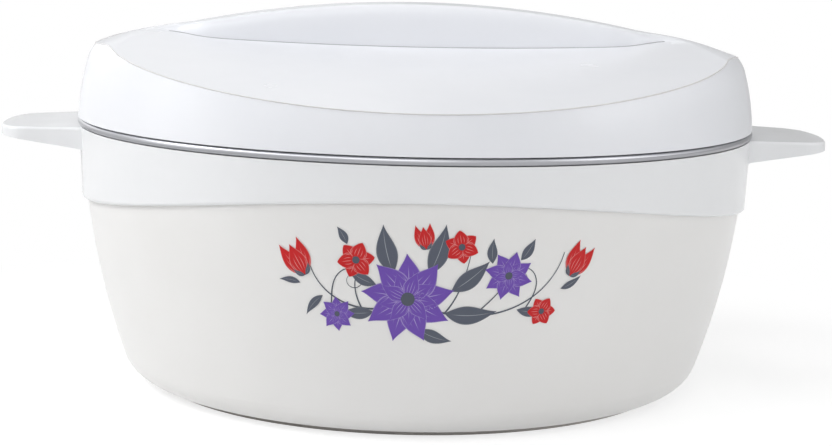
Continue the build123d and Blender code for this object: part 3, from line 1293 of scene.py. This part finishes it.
def _ring(
    finish: Finish, layer: int, centre: Point, count: int, turn: float, petal: Blade
) -> list[Print]:
    """Copies of a petal round a centre.

    Args:
        finish: The ink.
        layer: Place in the stack.
        centre: The flower's centre.
        count: Number of petals.
        turn: Heading of the first, in degrees.
        petal: The petal, whose start is its distance from the centre.

    Returns:
        The petals.
    """
    prints = []
    for number in range(count):
        heading = turn + 360.0 * number / count
        start = _beside(centre, petal.start[0], heading)
        blade = replace(petal, start=start, heading=heading - petal.bend / 2)
        prints.append((finish, layer + number % 2, blade))
    return prints


def _heart(centre: Point, radius: float, layer: int) -> Print:
    """A flower's dark heart."""
    blade = Blade((centre[0] - radius, centre[1]), 0.0, 2 * radius, radius, Outline.DOT)
    return Finish.STEM_INK, layer, blade


@dataclass(frozen=True)
class Bloom:
    """A violet bloom of pointed petals in two rounds; inner and heart sizes are shares."""

    centre: Point
    reach: float
    petals: int
    half_width: float
    turn: float
    bend: float = 14.0
    inner_length: float = 0.62
    inner_width: float = 0.6
    heart: float = 0.15

    def prints(self) -> list[Print]:
        """Draws the bloom.

        Returns:
            Its shapes.
        """
        outer = Blade((0.0, 0.0), 0.0, self.reach, self.half_width, Outline.LEAF, self.bend)
        length, half_width = self.inner_length * self.reach, self.inner_width * self.half_width
        inner = replace(outer, length=length, half_width=half_width, bend=-self.bend)
        between = self.turn + 180.0 / self.petals
        ink, count = Finish.VIOLET_INK, self.petals
        return [
            *_ring(ink, Layer.PETAL, self.centre, count, self.turn, outer),
            *_ring(ink, Layer.OVER_PETALS, self.centre, count, between, inner),
            _heart(self.centre, self.heart * self.reach, Layer.HEART),
        ]


@dataclass(frozen=True)
class Rosette:
    """A red rosette of rounded petals; sizes from root to heart are shares of its reach."""

    centre: Point
    reach: float
    turn: float
    petals: int = 6
    root: float = 0.1
    length: float = 0.9
    half_width: float = 0.44
    heart: float = 0.2

    def prints(self) -> list[Print]:
        """Draws the rosette.

        Returns:
            Its shapes.
        """
        start, length = (self.root * self.reach, 0.0), self.length * self.reach
        petal = Blade(start, 0.0, length, self.half_width * self.reach, Outline.PETAL)
        return [
            *_ring(Finish.RED_INK, Layer.PETAL, self.centre, self.petals, self.turn, petal),
            _heart(self.centre, self.heart * self.reach, Layer.OVER_PETALS),
        ]


@dataclass(frozen=True)
class Tulip:
    """A red tulip: two side petals, one before them and two leaflets, sized as shares of it."""

    base: Point
    heading: float
    length: float
    side_turn: float = 26.0
    side_bend: float = 22.0
    side_width: float = 0.2
    front_length: float = 0.86
    front_width: float = 0.23
    leaflet_turn: float = 65.0
    leaflet_bend: float = 50.0
    leaflet_length: float = 0.35
    leaflet_width: float = 0.06

    def prints(self) -> list[Print]:
        """Draws the tulip.

        Returns:
            Its shapes.
        """
        sides = [
            self._leaf(side * self.side_turn, 1.0, self.side_width, -side * self.side_bend)
            for side in (-1.0, 1.0)
        ]
        front = self._leaf(0.0, self.front_length, self.front_width, 0.0)
        length, width = self.leaflet_length, self.leaflet_width
        leaflets = [
            self._leaf(side * self.leaflet_turn, length, width, -side * self.leaflet_bend)
            for side in (1.0, -1.0)
        ]
        return [
            *((Finish.RED_INK, Layer.PETAL, blade) for blade in sides),
            (Finish.RED_INK, Layer.FRONT_PETAL, front),
            *((Finish.LEAF_INK, Layer.OVER_PETALS, blade) for blade in leaflets),
        ]

    def _leaf(self, turn: float, length: float, width: float, bend: float) -> Blade:
        """Pointed shape from the base, with its turn from the heading and its sizes as shares."""
        size, heading = self.length, self.heading + turn
        return Blade(self.base, heading, length * size, width * size, Outline.LEAF, bend)


@dataclass(frozen=True)
class Spray:
    """The floral print: an arching spray of blooms, rosettes, tulips, leaves and tendrils."""

    wall: ShellWall = ShellWall()

    # Start, heading, length, half width, bend and curl.
    stems: tuple[tuple[Point, float, float, float, float, float], ...] = (
        ((-9.0, -4.0), 205.0, 43.0, 0.42, -70.0, -35.0),
        ((-9.0, -4.0), -22.0, 66.0, 0.42, 40.0, 60.0),
        ((-24.0, -9.0), 120.0, 20.0, 0.3, -20.0, -60.0),
        ((-36.0, -6.0), 85.0, 36.0, 0.24, 60.0, -520.0),
        ((32.0, -8.5), 60.0, 40.0, 0.24, -60.0, 560.0),
        ((4.0, -8.0), 50.0, 26.0, 0.3, 60.0, -30.0),
        ((13.0, -10.0), 40.0, 22.0, 0.3, 10.0, 10.0),
    )

    # Start, heading, length, half width and bend.
    leaves: tuple[tuple[Point, float, float, float, float], ...] = (
        ((-14.0, 6.0), 112.0, 18.0, 3.6, -20.0),
        ((-2.0, 6.0), 62.0, 19.0, 3.4, 22.0),
        ((6.0, 0.0), 30.0, 17.0, 3.2, 20.0),
        ((4.0, -8.0), -12.0, 19.0, 3.4, 28.0),
        ((-21.0, -8.0), 196.0, 12.0, 2.2, -30.0),
        ((-5.0, -14.0), -35.0, 13.0, 2.4, 30.0),
        ((-20.0, 2.0), 168.0, 11.0, 2.0, -30.0),
        ((30.0, -7.0), -18.0, 12.0, 1.9, 30.0),
        ((30.0, 11.0), 48.0, 9.0, 1.8, 20.0),
        ((20.0, 10.0), 100.0, 9.0, 1.8, -20.0),
        ((-39.0, -3.0), 215.0, 10.0, 1.5, 30.0),
        ((-47.0, 1.0), 160.0, 8.0, 1.2, 30.0),
        ((46.0, 0.0), 15.0, 9.0, 1.3, 30.0),
        ((-30.0, 16.0), 110.0, 7.0, 1.5, 20.0),
    )

    flowers: tuple[Bloom | Rosette | Tulip, ...] = (
        Bloom((-9.0, -3.0), 16.5, petals=9, half_width=4.6, turn=12.0),
        Bloom((26.0, 5.5), 9.0, petals=8, half_width=2.8, turn=30.0),
        Bloom((-34.0, -9.5), 6.4, petals=8, half_width=2.1, turn=5.0),
        Rosette((-27.0, 10.5), 6.6, turn=10.0),
        Rosette((9.0, 16.0), 6.0, turn=40.0),
        Rosette((39.5, -8.0), 5.4, turn=0.0),
        Tulip((-45.0, 4.0), 118.0, length=14.0),
        Tulip((49.0, 4.5), 62.0, length=13.5),
        Tulip((-3.0, 15.0), 100.0, length=9.5),
    )

    def prints(self) -> list[Print]:
        """Draws the whole spray.

        Returns:
            Its shapes, stems first.
        """
        shapes = [
            (Finish.STEM_INK, Layer.STEM, Blade(*sizes, Outline.STEM, bend, curl))
            for *sizes, bend, curl in self.stems
        ]
        shapes += [
            (Finish.LEAF_INK, Layer.LEAF, Blade(*sizes, Outline.LEAF, bend))
            for *sizes, bend in self.leaves
        ]
        return shapes + [shape for flower in self.flowers for shape in flower.prints()]

    def build(self, materials: Materials) -> None:
        """Makes one piece of all the shapes in each ink.

        Args:
            materials: The finished materials.
        """
        inks: dict[Finish, list[tuple[Blade, int]]] = {}
        for finish, layer, blade in self.prints():
            inks.setdefault(finish, []).append((blade, layer))
        for finish, blades in inks.items():
            parts = [blade.build("print", self.wall, layer) for blade, layer in blades]
            bpy.ops.object.select_all(action="DESELECT")
            for part in parts:
                part.select_set(True)
            bpy.context.view_layer.objects.active = parts[0]
            bpy.ops.object.join()
            piece = bpy.context.object
            piece.name = f"print_{finish.name.lower()}"
            piece.data.materials.clear()
            piece.data.materials.append(materials[finish])
            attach(piece, "casserole")
            LOG.info("%s: %d shapes, %d faces", piece.name, len(parts), len(piece.data.polygons))
            bpy.ops.object.select_all(action="DESELECT")


# ---------------------------------------------------------------- casserole
def main() -> None:
    """Builds the casserole piece by piece."""
    logging.basicConfig(level=logging.INFO, format="%(message)s")
    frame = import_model()
    bpy.ops.object.select_all(action="DESELECT")
    Studio().build()
    materials = {finish: finish.value.build() for finish in Finish}
    for piece in FRAME_PIECES:
        piece.build(frame["nodes"], materials)
    SteelBowl().build(materials[Finish.BOWL_STEEL])
    cover = LidCover()
    cover.build(materials[Finish.LID_PLASTIC])
    ShadeLines(cover).build(materials)
    Spray().build(materials)


if __name__ == "__main__":
    main()
